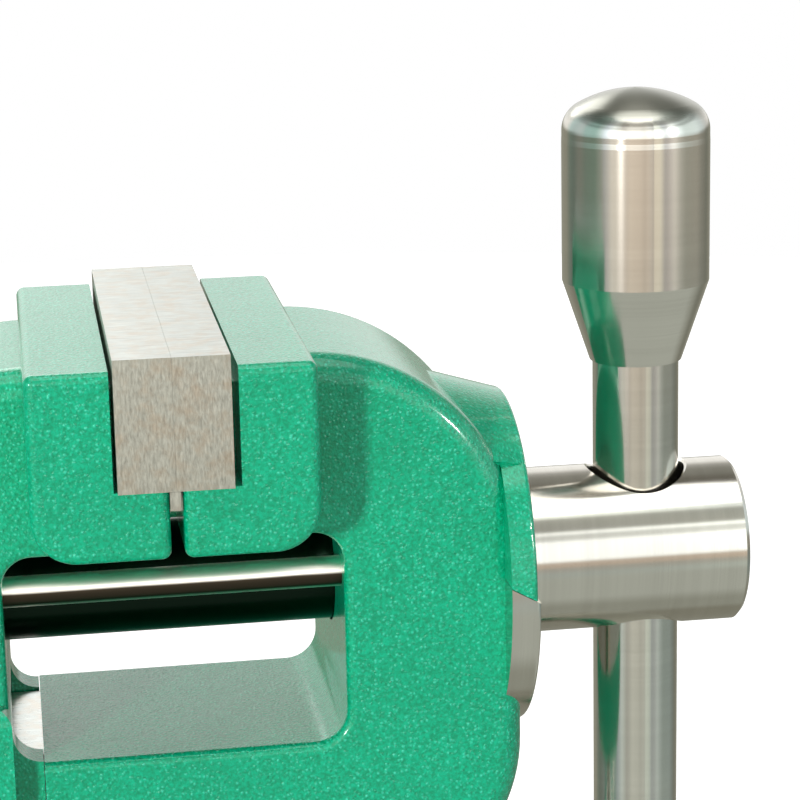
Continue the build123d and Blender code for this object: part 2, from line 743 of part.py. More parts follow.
with BuildPart() as fixed_frame:
    extrude(outline_face(
        [(-limb_root, limb_top), (-arm_face, limb_top), (-arm_face, housing_top - 1),
         (-window_half, housing_top - 1), (-window_half, window_top_fixed), (-limb_root, window_top_fixed)],
        side(), [0, arm_corner, 0, 0, window_upper_corner, 0]), amount=arm_half, both=True)
    fillet(edges_where(fixed_frame.part, lambda p: on_face(p, arm_half) and (
        p.X < -window_half - 1 or p.Z > limb_top - 1) and p.Z > housing_top), arm_edge_round)
    fillet(edges_where(fixed_frame.part, lambda p: on_face(p, arm_half) and (
        p.X > -window_half - 1 and p.Z < block_bottom + 1) and p.Z > housing_top), edge_round)

with BuildPart() as rear_body:
    extrude(outline_face(
        [(rear_end, housing_top - 1), (-window_half - 4, housing_top - 1), (-window_half - 4, rear_top),
         (rear_end, rear_top)], side(), [0, 0, 0, rear_corner]), amount=arm_half, both=True)
    fillet(edges_where(rear_body.part, lambda p: on_face(p, arm_half) and p.Z > housing_top), rear_round)

with BuildPart() as housing:
    block((rear_end, -housing_half, body_floor), (housing_face, housing_half, housing_top))
    fillet(edges_where(housing.part, lambda p: p.X < rear_end + 0.01 and abs(p.Y) > housing_half - 0.01),
           housing_corner)
    fillet(housing.edges().group_by(Axis.Z)[-1], housing_round)
    fillet(housing.edges().group_by(Axis.Z)[0], housing_round)

with BuildPart() as collar:
    collar_half = collar_depth / 2
    collar_end = beam_end - collar_gap
    wall = housing_face - 1
    with BuildSketch(side()) as cheek:
        with BuildLine():
            Polyline((collar_end, beam_top), (collar_end, beam_bottom), (wall, beam_bottom),
                     (wall, beam_top + collar_fillet), (collar_end - collar_fillet, beam_top + collar_fillet))
            RadiusArc((collar_end - collar_fillet, beam_top + collar_fillet), (collar_end, beam_top),
                      -collar_fillet)
        make_face()
    extrude(cheek.sketch, amount=collar_half, both=True)

channel_half = slide_half + slide_clearance
key_low = (-key_reach, -jaw_half + block_inset + key_inset, plate_bottom - key_drop - key_height)
key_high = (casting_gap / 2 - key_clearance, key_low[1] + key_length, plate_bottom - key_drop)
gib_face = slide_half + slide_clearance
with BuildPart() as fixed_jaw:
    add(fixed_frame.part)
    add(jaw_block_form(-1, fixed_pocket_gap))
    plate_screw_threads(-1)
    add(rear_body.part)
    add(housing.part)
    add(collar.part)
    # channel of the slide bar, with room for the gib at its back and a wider mouth
    block((rear_end - 1, -channel_half, slide_bottom - slide_clearance),
          (housing_face, channel_half + gib_thickness, bar_top + slide_clearance), Mode.SUBTRACT)
    block((housing_face - entry_length, -channel_half - entry_side, slide_bottom - slide_clearance),
          (housing_face, channel_half + entry_side, bar_top + entry_rise), Mode.SUBTRACT)
    block((housing_face - 1, -channel_half, slide_bottom - slide_clearance),
          (collar_end + 1, channel_half, beam_top + collar_fillet + 1), Mode.SUBTRACT)
    # tunnel of the spindle, seat of the nut, and the hole in the window's wall
    cylinder_along(spot(rear_end - 1, 0, 0), (1, 0, 0), tunnel_radius, nut_start - rear_end + 1,
                   Mode.SUBTRACT)
    cylinder_along(spot(nut_start - 0.01, 0, 0), (1, 0, 0), nut_radius, nut_length + 0.01, Mode.SUBTRACT)
    cylinder_along(spot(nut_start, 0, 0), (1, 0, 0), shank_radius + key_clearance,
                   -window_half - nut_start + window_upper_corner, Mode.SUBTRACT)
    for y in (-rod_spread, rod_spread):
        cylinder_along(spot(rod_start - 1, y, rod_height), (1, 0, 0), rod_radius + rod_clearance,
                       -window_half - rod_start + 2, Mode.SUBTRACT)
    # blind groove of the plate key
    block(key_low, (0, key_high[1], key_high[2]), Mode.SUBTRACT)
    # threads of the stem's flange, the nut's screw, the gib's screws and the cover's screws
    for angle in range(45, 360, 90):
        place = Vector(flange_screw_circle, 0, 0).rotate(Axis.Z, angle)
        cylinder_along(Vector(place.X, place.Y, body_bottom - 1), (0, 0, 1), flange_screw[0],
                       flange_screw_length - flange_thickness + 1, Mode.SUBTRACT)
    cylinder_along(spot(nut_screw_place, 0, 2 - nut_radius), (0, 0, -1), set_screw_radius,
                   nut_radius - bar_top, Mode.SUBTRACT)
    for x in gib_screw_places:
        cylinder_along(spot(x, gib_face + gib_thickness - 0.5, (bar_top + slide_bottom) / 2), (0, 1, 0),
                       set_screw_radius, housing_half, Mode.SUBTRACT)
    cover_corners = [(hand * spread, z) for hand in (-1, 1)
                     for spread, z in ((cover_pitch_low, cover_low + cover_screw[1] + 0.5),
                                       (cover_pitch_high, cover_high - cover_screw[1] - 0.5))]
    for y, z in cover_corners:
        cylinder_along(spot(rear_end - 1, y, z), (1, 0, 0), cover_screw[0],
                       cover_screw_length - cover_thickness + 1, Mode.SUBTRACT)
fixed_jaw.part.label = "fixed_jaw"
export_step(fixed_jaw.part, "parts/fixed_jaw.step")

fixed_jaw_plate = jaw_plate_form(-1)
fixed_jaw_plate.label = "fixed_jaw_plate"
export_step(fixed_jaw_plate, "parts/fixed_jaw_plate.step")

fixed_plate_screws = plate_screws_form(-1)
fixed_plate_screws.label = "fixed_plate_screws"
export_step(fixed_plate_screws, "parts/fixed_plate_screws.step")

with BuildPart() as plate_key:
    block(key_low, key_high)
    block((-casting_gap / 2, -jaw_half + block_inset, key_low[2]), (key_high[0], key_low[1], key_high[2]))
plate_key.part.label = "plate_key"
export_step(plate_key.part, "parts/plate_key.step")

with BuildPart() as spindle_nut:
    cylinder_along(spot(nut_start, 0, 0), (1, 0, 0), nut_radius, nut_length)
    cylinder_along(spot(nut_start - 1, 0, 0), (1, 0, 0), thread_radius + running_clearance,
                   nut_length + 2, Mode.SUBTRACT)
    cylinder_along(spot(nut_screw_place, 0, 2 - nut_radius), (0, 0, -1), set_screw_radius, 3, Mode.SUBTRACT)
spindle_nut.part.label = "spindle_nut"
export_step(spindle_nut.part, "parts/spindle_nut.step")

with BuildPart() as nut_screw:
    nut_screw_face = spot(nut_screw_place, 0, 2 - nut_radius - nut_screw_length)
    cylinder_along(nut_screw_face, (0, 0, 1), set_screw_radius, nut_screw_length)
    hex_socket(nut_screw_face, (0, 0, 1), set_screw_radius * 0.6, set_screw_radius)
nut_screw.part.label = "nut_screw"
export_step(nut_screw.part, "parts/nut_screw.step")

with BuildPart() as slide_gib:
    block((rear_end + gib_end_gap, gib_face, slide_bottom), (housing_face - gib_end_gap - entry_length,
          gib_face + gib_thickness, bar_top))
slide_gib.part.label = "slide_gib"
export_step(slide_gib.part, "parts/slide_gib.step")

with BuildPart() as gib_screws:
    gib_screw_length = housing_half - gib_face - gib_thickness - 0.6
    for x in gib_screw_places:
        gib_screw_face = spot(x, gib_face + gib_thickness + gib_screw_length, (bar_top + slide_bottom) / 2)
        cylinder_along(gib_screw_face, (0, -1, 0), set_screw_radius, gib_screw_length)
        hex_socket(gib_screw_face, (0, -1, 0), set_screw_radius * 0.6, set_screw_radius)
gib_screws.part.label = "gib_screws"
export_step(gib_screws.part, "parts/gib_screws.step")

with BuildPart() as rear_cover:
    cover_face = rear_end - cover_thickness
    block((cover_face, -cover_half, cover_low), (rear_end, cover_half, cover_high))
    fillet(rear_cover.edges().filter_by(Axis.X), 3)
    chamfer(rear_cover.edges().group_by(Axis.X)[0], 0.6)
    for y, z in cover_corners:
        countersunk_hole(spot(cover_face, y, z), (1, 0, 0), cover_screw, cover_thickness + 1)
rear_cover.part.label = "rear_cover"
export_step(rear_cover.part, "parts/rear_cover.step")

with BuildPart() as cover_screws:
    for y, z in cover_corners:
        countersunk_screw(spot(cover_face, y, z), (1, 0, 0), cover_screw, cover_screw_length)
cover_screws.part.label = "cover_screws"
export_step(cover_screws.part, "parts/cover_screws.step")

# ---------------------------------------------------------------- ball and stem

stem_foot = ball_height + sqrt(ball_radius ** 2 - stem_radius ** 2)
flange_bottom = body_bottom - flange_thickness
with BuildPart() as ball_stem:
    with BuildSketch(Plane.XZ):
        with BuildLine():
            ThreePointArc((0, ball_height - ball_radius), (ball_radius, ball_height),
                          (stem_radius, stem_foot))
            Polyline((stem_radius, stem_foot), (stem_radius, flange_bottom - 2),
                     (stem_radius + 2, flange_bottom), (flange_radius, flange_bottom),
                     (flange_radius, body_bottom), (0, body_bottom), (0, ball_height - ball_radius))
        make_face()
    revolve(axis=Axis.Z)
    for angle in range(45, 360, 90):
        place = Vector(flange_screw_circle, 0, 0).rotate(Axis.Z, angle)
        countersunk_hole(Vector(place.X, place.Y, flange_bottom), (0, 0, 1), flange_screw,
                         flange_thickness + 1)
ball_stem.part.label = "ball_stem"
export_step(ball_stem.part, "parts/ball_stem.step")

with BuildPart() as flange_screws:
    for angle in range(45, 360, 90):
        place = Vector(flange_screw_circle, 0, 0).rotate(Axis.Z, angle)
        countersunk_screw(Vector(place.X, place.Y, flange_bottom), (0, 0, 1), flange_screw,
                          flange_screw_length)
flange_screws.part.label = "flange_screws"
export_step(flange_screws.part, "parts/flange_screws.step")

# ---------------------------------------------------------------- socket and foot

with BuildPart() as base:
    with BuildSketch(Plane.XZ):
        with BuildLine():
            Polyline((drain_radius, foot_recess), (foot_recess_radius, foot_recess),
                     (foot_recess_radius, 0), (foot_radius, 0), (foot_radius, foot_edge))
            Spline((foot_radius, foot_edge), (socket_radius + foot_slope_reach, foot_edge + foot_slope_rise),
                   (socket_radius + 3, ring_bottom - 3), tangents=((-1, 0), (-0.35, 1)))
            Polyline((socket_radius + 3, ring_bottom - 3), (socket_radius, ring_bottom - 3),
                     (socket_radius, socket_top), (seat_radius + cup_clearance, socket_top),
                     (seat_radius + cup_clearance, socket_top - seat_bore_depth),
                     (cup_radius + cup_clearance, socket_top - seat_bore_depth),
                     (cup_radius + cup_clearance, socket_floor), (drain_radius, socket_floor),
                     (drain_radius, foot_recess))
        make_face()
    revolve(axis=Axis.Z)
    fillet(base.edges().filter_by(lambda e: abs(e.radius - foot_radius) < 0.01
                                  if e.geom_type == GeomType.CIRCLE else False).group_by(Axis.Z)[-1], 2.5)
    with PolarLocations(bolt_circle_radius, bolt_count, start_angle=45):
        Hole(bolt_hole_radius)
    # key pin's hole in the socket's rim
    cylinder_along(Vector(0, key_pin_place, socket_top), (0, 0, -1), key_pin_radius, key_pin_depth,
                   Mode.SUBTRACT)
base.part.label = "base"
export_step(base.part, "parts/base.step")

seat_ball_radius = ball_radius + ball_clearance
with BuildPart() as pressure_cup:
    hollow_top = sqrt(seat_ball_radius ** 2 - (ball_height - cup_top) ** 2)
    hollow_low = ball_height - sqrt(seat_ball_radius ** 2 - cup_hole_radius ** 2)
    middle_r = (hollow_top + cup_hole_radius) / 2
    middle_z = ball_height - sqrt(seat_ball_radius ** 2 - middle_r ** 2)
    with BuildSketch(Plane.XZ):
        with BuildLine():
            Polyline((cup_hole_radius, hollow_low), (cup_hole_radius, cup_bottom), (cup_radius, cup_bottom),
                     (cup_radius, cup_top), (hollow_top, cup_top))
            ThreePointArc((hollow_top, cup_top), (middle_r, middle_z), (cup_hole_radius, hollow_low))
        make_face()
    revolve(axis=Axis.Z)
pressure_cup.part.label = "pressure_cup"
export_step(pressure_cup.part, "parts/pressure_cup.step")

with BuildPart() as disc_spring:
    with BuildSketch(Plane.XZ):
        with BuildLine():
            Polyline((spring_outer_radius, socket_floor), (spring_outer_radius, socket_floor + spring_sheet),
                     (spring_inner_radius, cup_bottom - spring_gap),
                     (spring_inner_radius, cup_bottom - spring_gap - spring_sheet), close=True)
        make_face()
    revolve(axis=Axis.Z)
disc_spring.part.label = "disc_spring"
export_step(disc_spring.part, "parts/disc_spring.step")

with BuildPart() as seat_ring:
    low_r = sqrt(seat_ball_radius ** 2 - (seat_bottom - ball_height) ** 2)
    high_r = sqrt(seat_ball_radius ** 2 - (seat_top - ball_height) ** 2)
    middle_z = (seat_bottom + seat_top) / 2
    middle_r = sqrt(seat_ball_radius ** 2 - (middle_z - ball_height) ** 2)
    with BuildSketch(Plane.XZ):
        with BuildLine():
            Polyline((low_r, seat_bottom), (seat_radius, seat_bottom), (seat_radius, seat_top),
                     (high_r, seat_top))
            ThreePointArc((high_r, seat_top), (middle_r, middle_z), (low_r, seat_bottom))
        make_face()
    revolve(axis=Axis.Z)
    # slot for the key pin
    cylinder_along(Vector(0, key_pin_place, seat_bottom - 1), (0, 0, 1),
                   key_pin_radius + key_pin_clearance, 5, Mode.SUBTRACT)
seat_ring.part.label = "seat_ring"
export_step(seat_ring.part, "parts/seat_ring.step")

with BuildPart() as seat_key:
    cylinder_along(Vector(0, key_pin_place, socket_top - key_pin_depth), (0, 0, 1), key_pin_radius,
                   key_pin_depth + key_pin_rise)
seat_key.part.label = "seat_key"
export_step(seat_key.part, "parts/seat_key.step")

with BuildPart() as clamp_ring:
    with BuildSketch(Plane.XZ):
        with BuildLine():
            Polyline((ring_pitch_radius, ring_bottom), (ring_radius - 1, ring_bottom),
                     (ring_radius, ring_bottom + 1), (ring_radius, ring_shoulder),
                     (lip_radius + lip_slope, ring_top), (lip_radius, ring_top), (lip_radius, seat_top),
                     (seat_radius + ring_play, seat_top), (seat_radius + ring_play, socket_top + ring_play),
                     (ring_pitch_radius, socket_top + ring_play), close=True)
        make_face()
    revolve(axis=Axis.Z)
    flute_step = 360 / flute_count
    for flute in range(flute_count):
        turn = lever_direction + (flute + 0.5) * flute_step
        place = Vector(ring_radius + flute_radius - flute_depth, 0, 0).rotate(Axis.Z, turn)
        cylinder_along(Vector(place.X, place.Y, ring_bottom - 1), (0, 0, 1), flute_radius,
                       ring_shoulder + 4 - ring_bottom, Mode.SUBTRACT)
    outward = Vector(1, 0, 0).rotate(Axis.Z, lever_direction)
    lever_foot = outward * (ring_radius - lever_root) + Vector(0, 0, lever_height)
    cylinder_along(lever_foot, tuple(outward), lever_radius, lever_root + 1, Mode.SUBTRACT)
clamp_ring.part.label = "clamp_ring"
export_step(clamp_ring.part, "parts/clamp_ring.step")

with BuildPart() as clamp_lever:
    cylinder_along(lever_foot, tuple(outward), lever_radius, lever_root + lever_length + lever_knob_socket)
clamp_lever.part.label = "clamp_lever"
export_step(clamp_lever.part, "parts/clamp_lever.step")

with BuildPart() as lever_knob:
    knob(lever_foot + outward * (lever_root + lever_length), tuple(outward), lever_neck_radius,
         lever_knob_cone, lever_knob_radius, lever_knob_cylinder, lever_knob_rim, lever_knob_shoulder,
         lever_knob_crown, lever_radius, lever_knob_socket)
lever_knob.part.label = "lever_knob"
export_step(lever_knob.part, "parts/lever_knob.step")
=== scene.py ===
"""Looks of the ball vise: materials, soft studio light, a pale floor and the camera."""

from math import cos, pi, radians, sin

import bpy
from mathutils import Matrix, Vector


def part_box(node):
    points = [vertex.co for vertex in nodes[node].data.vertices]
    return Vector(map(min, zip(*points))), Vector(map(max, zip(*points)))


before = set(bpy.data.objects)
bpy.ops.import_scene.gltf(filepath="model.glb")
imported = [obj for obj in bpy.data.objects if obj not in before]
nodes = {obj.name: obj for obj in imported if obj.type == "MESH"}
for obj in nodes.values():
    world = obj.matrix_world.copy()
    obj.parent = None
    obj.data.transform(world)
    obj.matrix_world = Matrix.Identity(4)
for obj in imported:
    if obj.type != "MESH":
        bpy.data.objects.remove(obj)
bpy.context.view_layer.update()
scene = bpy.context.scene

MM = 0.001
LOW, HIGH = 0, 1      # the two corners of a node's box
X, Z = 0, 2

# ---------------------------------------------------------------- colours and node trees


def linear(value):
    """Linear light of one 8-bit channel."""
    value /= 255.0
    return value / 12.92 if value <= 0.04045 else ((value + 0.055) / 1.055) ** 2.4


def srgb(red, green, blue):
    """Linear colour of an 8-bit one."""
    return (linear(red), linear(green), linear(blue), 1.0)


def shade(colour, share):
    """Linear colour of an 8-bit one that is first made darker or lighter."""
    return srgb(*[min(255, int(channel * share)) for channel in colour])


def grey(value):
    return (value, value, value, 1.0)


class Tree:
    """The node tree of one material or world, with a short call for each kind of node used here."""

    def __init__(self, owner):
        owner.use_nodes = True
        self.tree = owner.node_tree
        self.tree.nodes.clear()

    def add(self, kind, values=None, **settings):
        """A new node. Values are its inputs, by name or number: each a socket to link or a plain value."""
        node = self.tree.nodes.new(kind)
        for key, value in settings.items():
            setattr(node, key, value)
        for key, value in (values or {}).items():
            if isinstance(value, bpy.types.NodeSocket):
                self.tree.links.new(value, node.inputs[key])
            else:
                node.inputs[key].default_value = value
        return node

    def here(self):
        """The point that is shaded, in metres."""
        return self.add("ShaderNodeTexCoord").outputs["Object"]

    def facing(self, axis):
        """How far the surface faces along an axis, from -1 to 1."""
        normal = self.add("ShaderNodeNewGeometry").outputs["Normal"]
        return self.add("ShaderNodeSeparateXYZ", {"Vector": normal}).outputs[axis]

    def math(self, operation, first, second=0.0):
        return self.add("ShaderNodeMath", {0: first, 1: second}, operation=operation).outputs[0]

    def vector_math(self, operation, first, second):
        return self.add("ShaderNodeVectorMath", {0: first, 1: second}, operation=operation).outputs[0]

    def rescale(self, value, source=(0.0, 1.0), target=(0.0, 1.0)):
        """The value carried over from the source's range to the target's, and held within it."""
        return self.add("ShaderNodeMapRange", {
            "Value": value, "From Min": source[0], "From Max": source[1],
            "To Min": target[0], "To Max": target[1]}).outputs[0]

    def noise(self, vector, waves, detail=2.0, roughness=0.5, distortion=0.0):
        """Noise from 0 to 1, with so many waves to each unit of its vector."""
        return self.add("ShaderNodeTexNoise", {
            "Vector": vector, "Scale": waves, "Detail": detail,
            "Roughness": roughness, "Distortion": distortion}).outputs[0]

    def grain(self, vector, waves, detail=3.0, roughness=0.5, distortion=0.0):
        """Noise drawn out into grain, with its own waves per metre along X, Y and Z."""
        drawn_out = self.vector_math("MULTIPLY", vector, waves)
        return self.noise(drawn_out, 1.0, detail, roughness, distortion)

    def ramp(self, value, stops):
        """Colour of a value, between stops that are each a place from 0 to 1 and a colour."""
        node = self.add("ShaderNodeValToRGB", {0: value})
        elements = node.color_ramp.elements
        while len(elements) < len(stops):
            elements.new(1.0)      # its own place is set next
        for element, (place, colour) in zip(elements, stops):
            element.position = place
            element.color = colour if len(colour) == 4 else (*colour, 1.0)
        return node.outputs[0]

    def fade(self, value, start, end, first=0.0, last=1.0):
        """Grey that goes from the first to the last as the value goes from start to end."""
        return self.ramp(value, [(start, grey(first)), (end, grey(last))])

    def mix(self, factor, first, second, blend="MIX"):
        """Mix of two colours. The Mix node's colour sockets are its inputs 6 and 7 and its output 2."""
        inputs = {0: factor, 6: first, 7: second}
        return self.add("ShaderNodeMix", inputs, data_type="RGBA", blend_type=blend).outputs[2]

    def mix_shaders(self, factor, first, second):
        return self.add("ShaderNodeMixShader", {0: factor, 1: first, 2: second}).outputs[0]

    def bump(self, height, strength, distance, under=None):
        """Normal of a relief, which adds to another one's normal if that is given as under."""
        values = {"Height": height, "Strength": strength, "Distance": distance}
        if under is not None:
            values["Normal"] = under
        return self.add("ShaderNodeBump", values).outputs[0]

    def surface(self, **values):
        """Principled shader and output; _ in a key stands for a space."""
        inputs = {key.replace("_", " "): value for key, value in values.items()}
        shader = self.add("ShaderNodeBsdfPrincipled", inputs).outputs[0]
        self.add("ShaderNodeOutputMaterial", {"Surface": shader})


def new_material(name):
    material = bpy.data.materials.new(name)
    return material, Tree(material)


# ---------------------------------------------------------------- materials


def hammered_paint():
    """Green hammered enamel: small dimples, lighter flecks that are partly painted glints, and a glossy
    skin.
    """
    deep_green, bright_green = srgb(0, 152, 108), srgb(0, 187, 141)
    fleck_and_glint_green, cloud_green = srgb(70, 236, 198), srgb(0, 150, 107)
    dimples_per_metre = 1750.0
    fine_waves, warp_waves, cloud_waves = 2100.0, 420.0, 90.0      # per metre
    wander = 0.6 * MM                        # how far the warp moves a dimple
    spot_full, spot_gone = 0.08, 0.46        # in a dimple, from its middle, as shares of its cell
    fleck_and_glint_share = 0.8
    spot_relief, fine_relief = 0.5, 0.6
    material, t = new_material("hammered_green")
    here = t.here()
    warp = t.noise(here, warp_waves)
    shift = t.add("ShaderNodeVectorMath", {0: warp, "Scale": wander}, operation="SCALE").outputs[0]
    moved = t.vector_math("ADD", here, shift)
    cells = t.add("ShaderNodeTexVoronoi", {
        "Vector": moved, "Scale": dimples_per_metre, "Randomness": 1.0}).outputs
    spot = t.fade(cells["Distance"], spot_full, spot_gone, 1.0, 0.0)
    chance = t.add("ShaderNodeSeparateColor", {0: cells["Color"]}).outputs[0]
    # light spots in some dimples: partly the enamel's own flecks, partly painted glints of light on the
    # dimples
    fleck_and_glint = t.math("MULTIPLY", spot, t.fade(chance, 0.20, 0.95))
    fine = t.noise(moved, fine_waves, roughness=0.6)
    cloud = t.noise(here, cloud_waves, detail=3.0)
    tone = t.mix(t.fade(fine, 0.35, 0.66), deep_green, bright_green)
    tone = t.mix(t.math("MULTIPLY", fleck_and_glint, fleck_and_glint_share), tone, fleck_and_glint_green)
    tone = t.mix(t.fade(cloud, 0.38, 0.62, 0.2, 0.0), tone, cloud_green)
    height = t.math("ADD", t.math("MULTIPLY", spot, spot_relief), t.math("MULTIPLY", fine, fine_relief))
    dimples = t.bump(height, strength=0.55, distance=0.4 * MM)
    swell = t.bump(cloud, strength=0.25, distance=1.2 * MM, under=dimples)
    t.surface(Base_Color=tone, Roughness=0.30, IOR=1.25, Normal=swell, Coat_Weight=0.9,
              Coat_Roughness=0.12, Coat_IOR=1.36)
    return material


def turned_steel(name, axis, colour=(214, 210, 201), roughness=0.15, faced=False):
    """Steel turned about an axis, with fine rings. If it is faced, its ends are duller and carry a painted
    shade that makes them darker.
    """
    rings_per_metre, around_per_metre = 5200.0, 40.0
    coarse_share = 0.12       # coarse rings to each fine one
    face_shade_colour, face_roughness = srgb(150, 150, 140), 0.30
    side_ends, face_starts = 0.42, 0.72      # how far the surface faces along the axis
    material, t = new_material(name)
    here = t.here()
    waves = [rings_per_metre if letter == axis else around_per_metre for letter in "XYZ"]
    rings = t.grain(here, waves, roughness=0.7)
    coarse = t.grain(here, [count * coarse_share for count in waves], detail=2.0)
    tone = t.mix(rings, shade(colour, 0.94), srgb(*colour))
    tone = t.mix(t.fade(coarse, 0.4, 0.7, 0.0, 0.25), tone, shade(colour, 1.06))
    tangent = t.add("ShaderNodeTangent", direction_type="RADIAL", axis=axis).outputs[0]
    if faced:
        face = t.fade(t.math("ABSOLUTE", t.facing(axis)), side_ends, face_starts)
        # painted shade: surfaces that face along the axis are darker in colour, and duller
        tone = t.mix(face, tone, face_shade_colour)
        roughness = t.rescale(face, target=(roughness, face_roughness))
    t.surface(Base_Color=tone, Metallic=1.0, Roughness=roughness, Anisotropic=0.6, Anisotropic_Rotation=0.25,
              Normal=t.bump(rings, strength=0.06, distance=0.03 * MM), Tangent=tangent)
    return material


def ground_steel(name, colour=(188, 191, 186), roughness=0.38):
    """Ground steel: short upright grain on standing faces, and grain along X on level ones. Standing faces
    also carry a painted reflection that makes them warmer and darker than level ones.
    """
    upright_waves, level_waves, stain_waves = (3400, 3400, 800), (260, 3200, 3200), 420.0
    level_from = 0.7          # a surface that faces up or down by more than this is level
    warm_stain = srgb(184, 160, 134)
    painted_standing_tint = srgb(234, 229, 222)
    material, t = new_material(name)
    here = t.here()
    upright = t.grain(here, upright_waves, roughness=0.65, distortion=0.4)
    along = t.grain(here, level_waves, roughness=0.65)
    level = t.math("GREATER_THAN", t.math("ABSOLUTE", t.facing("Z")), level_from)
    grain = t.mix(level, upright, along)
    stain = t.noise(here, stain_waves, detail=3.0, roughness=0.6)
    tone = t.mix(t.fade(grain, 0.30, 0.72), shade(colour, 0.88), shade(colour, 1.08))
    tone = t.mix(t.fade(stain, 0.45, 0.72, 0.0, 0.4), tone, warm_stain)
    # painted reflection: standing faces tinted warmer and darker, level faces left as they are
    tone = t.mix(1.0, tone, t.mix(level, painted_standing_tint, grey(1)), "MULTIPLY")
    rough = t.rescale(grain, target=(roughness - 0.08, roughness + 0.10))
    t.surface(Base_Color=tone, Metallic=1.0, Roughness=rough,
              Normal=t.bump(grain, strength=0.22, distance=0.08 * MM))
    return material


def highlit_bar_steel(name, bright, dark, roughness):
    """Blackened bar along X, with painted highlights: bright along its top and its underside, dark between.
    """
    streak_waves, streak_share = (60, 1500, 1500), 0.16
    bright, dark = srgb(*bright), srgb(*dark)
    material, t = new_material(name)
    streaks = t.grain(t.here(), streak_waves)
    # painted highlight: how far the bar faces up or down, broken by streaks, picks the bright or dark stop
    highlight_facing = t.math("ADD", t.facing("Z"), t.math("MULTIPLY", streaks, streak_share))
    place = t.rescale(highlight_facing, source=(-1.0, 1.0))
    tone = t.ramp(place, [(0.10, bright), (0.22, dark), (0.58, dark), (0.67, bright)])
    t.surface(Base_Color=tone, Metallic=1.0, Roughness=roughness)
    return material


def plain_metal(name, colour, roughness, mottle=900.0):
    """Machined or blackened metal with a fine mottle, which is given in waves per metre."""
    wide_share = 0.08         # wide clouds to each wave of the mottle
    material, t = new_material(name)
    here = t.here()
    fine = t.noise(here, mottle, detail=3.0, roughness=0.6)
    wide = t.noise(here, mottle * wide_share)
    tone = t.mix(fine, shade(colour, 0.82), shade(colour, 1.1))
    tone = t.mix(t.fade(wide, 0.4, 0.7, 0.0, 0.3), tone, shade(colour, 0.7))
    rough = t.rescale(fine, target=(roughness - 0.06, roughness + 0.08))
    t.surface(Base_Color=tone, Metallic=1.0, Roughness=rough,
              Normal=t.bump(fine, strength=0.08, distance=0.1 * MM))
    return material


# each material, and the nodes that have it
finishes = {
    hammered_paint(): ["base", "clamp_ring", "fixed_jaw", "moving_jaw", "rear_cover"],
    ground_steel("ground_steel"): ["fixed_jaw_plate", "moving_jaw_plate", "plate_key"],
    ground_steel("bar_steel", (188, 192, 188), 0.28): ["slide_bar"],
    # painted highlights along the guide rods' top and underside
    highlit_bar_steel("rod_steel", bright=(250, 244, 234), dark=(66, 58, 48), roughness=0.36): [
        "guide_rod_front", "guide_rod_rear"],
    turned_steel("turned_steel_x", "X"): [
        "retaining_plate", "spindle_head", "stop_washer", "clamp_lever", "lever_knob"],
    turned_steel("turned_steel_y", "Y"): ["head_pin"],
    turned_steel("turned_steel_z", "Z"): ["handle_bar", "ball_stem"],
    turned_steel("knob_steel", "Z", faced=True): ["upper_knob", "lower_knob"],
    turned_steel("black_steel", "X", (26, 40, 31), 0.25): ["spindle"],
    plain_metal("screw_steel", (48, 48, 50), 0.40): [
        "flange_screws", "fixed_plate_screws", "nut_screw", "gib_screws", "cover_screws",
        "moving_plate_screws", "slide_bar_screws", "retaining_screws", "stop_screw", "brake_screw"],
    plain_metal("spring_steel", (120, 120, 122), 0.30): [
        "disc_spring", "seat_key", "brake_ball", "brake_spring"],
    plain_metal("bronze", (196, 150, 84), 0.30, mottle=700.0): [
        "pressure_cup", "seat_ring", "spindle_nut", "slide_gib", "arm_bush"],
}
for material, names in finishes.items():
    for name in names:
        node = nodes[name]
        if not node.data.materials:
            node.data.materials.append(material)
        for slot in node.material_slots:
            slot.material = material

# ---------------------------------------------------------------- the room around the vise

EVEN_LIGHT = (1.0, 1.0, 0.99, 1.0)
EVEN_STRENGTH = 0.30      # of the light that falls on everything from all sides
FULL = 2.0                # brightness of a full ramp stop, so that no stop passes 1
EVEN_STRIP = 0.8          # strip that leaves the bands as they are
LOW_STRIP = 0.66          # the one strip all round, under the height of the bench

# red, green and blue that metal mirrors from each band of the room
UNDER_BENCH = (0.45, 0.47, 0.41)
BENCH = (0.64, 0.68, 0.62)
MILD_WALL = (0.62, 0.60, 0.53)
WARM_WALL = (0.84, 0.68, 0.54)
WINDOW = (2.0, 2.0, 1.95)
WINDOW_TOP = (1.05, 1.05, 1.0)
LAMP_EDGE = (0.95, 0.95, 0.9)
LAMP_ROW = (1.8, 1.8, 1.75)
DIM_WALL = (0.52, 0.51, 0.46)
CEILING_LIGHT = (1.35, 1.35, 1.25)
DARK_CEILING = (0.20, 0.19, 0.16)
REAR_FLOOR = (0.34, 0.34, 0.28)
REAR_WALL_FOOT = (1.1, 1.1, 1.06)
REAR_WALL = (1.2, 1.2, 1.18)
REAR_WALL_TOP = (0.5, 0.5, 0.47)
REAR_BEAM = (0.33, 0.33, 0.30)
REAR_CEILING = (0.28, 0.28, 0.25)

# the bands from straight down to straight up, each a height in degrees and what is there
FRONT_BANDS = [
    (-90, UNDER_BENCH), (-70, UNDER_BENCH), (-57, BENCH), (-20, BENCH), (-15, MILD_WALL), (-13, MILD_WALL),
    (-10, WARM_WALL), (-5, WARM_WALL), (-2, WINDOW), (23, WINDOW), (26, WINDOW_TOP), (32, LAMP_EDGE),
    (33, LAMP_ROW), (36, LAMP_ROW), (38, DIM_WALL), (54, DIM_WALL), (57, CEILING_LIGHT),
    (66, CEILING_LIGHT), (70, DARK_CEILING), (90, DARK_CEILING)]
REAR_BANDS = [
    (-90, REAR_FLOOR), (-4, REAR_FLOOR), (1, REAR_WALL_FOOT), (7, REAR_WALL), (24, REAR_WALL),
    (36, REAR_WALL_TOP), (46, REAR_BEAM), (58, REAR_CEILING), (66, DARK_CEILING), (90, DARK_CEILING)]

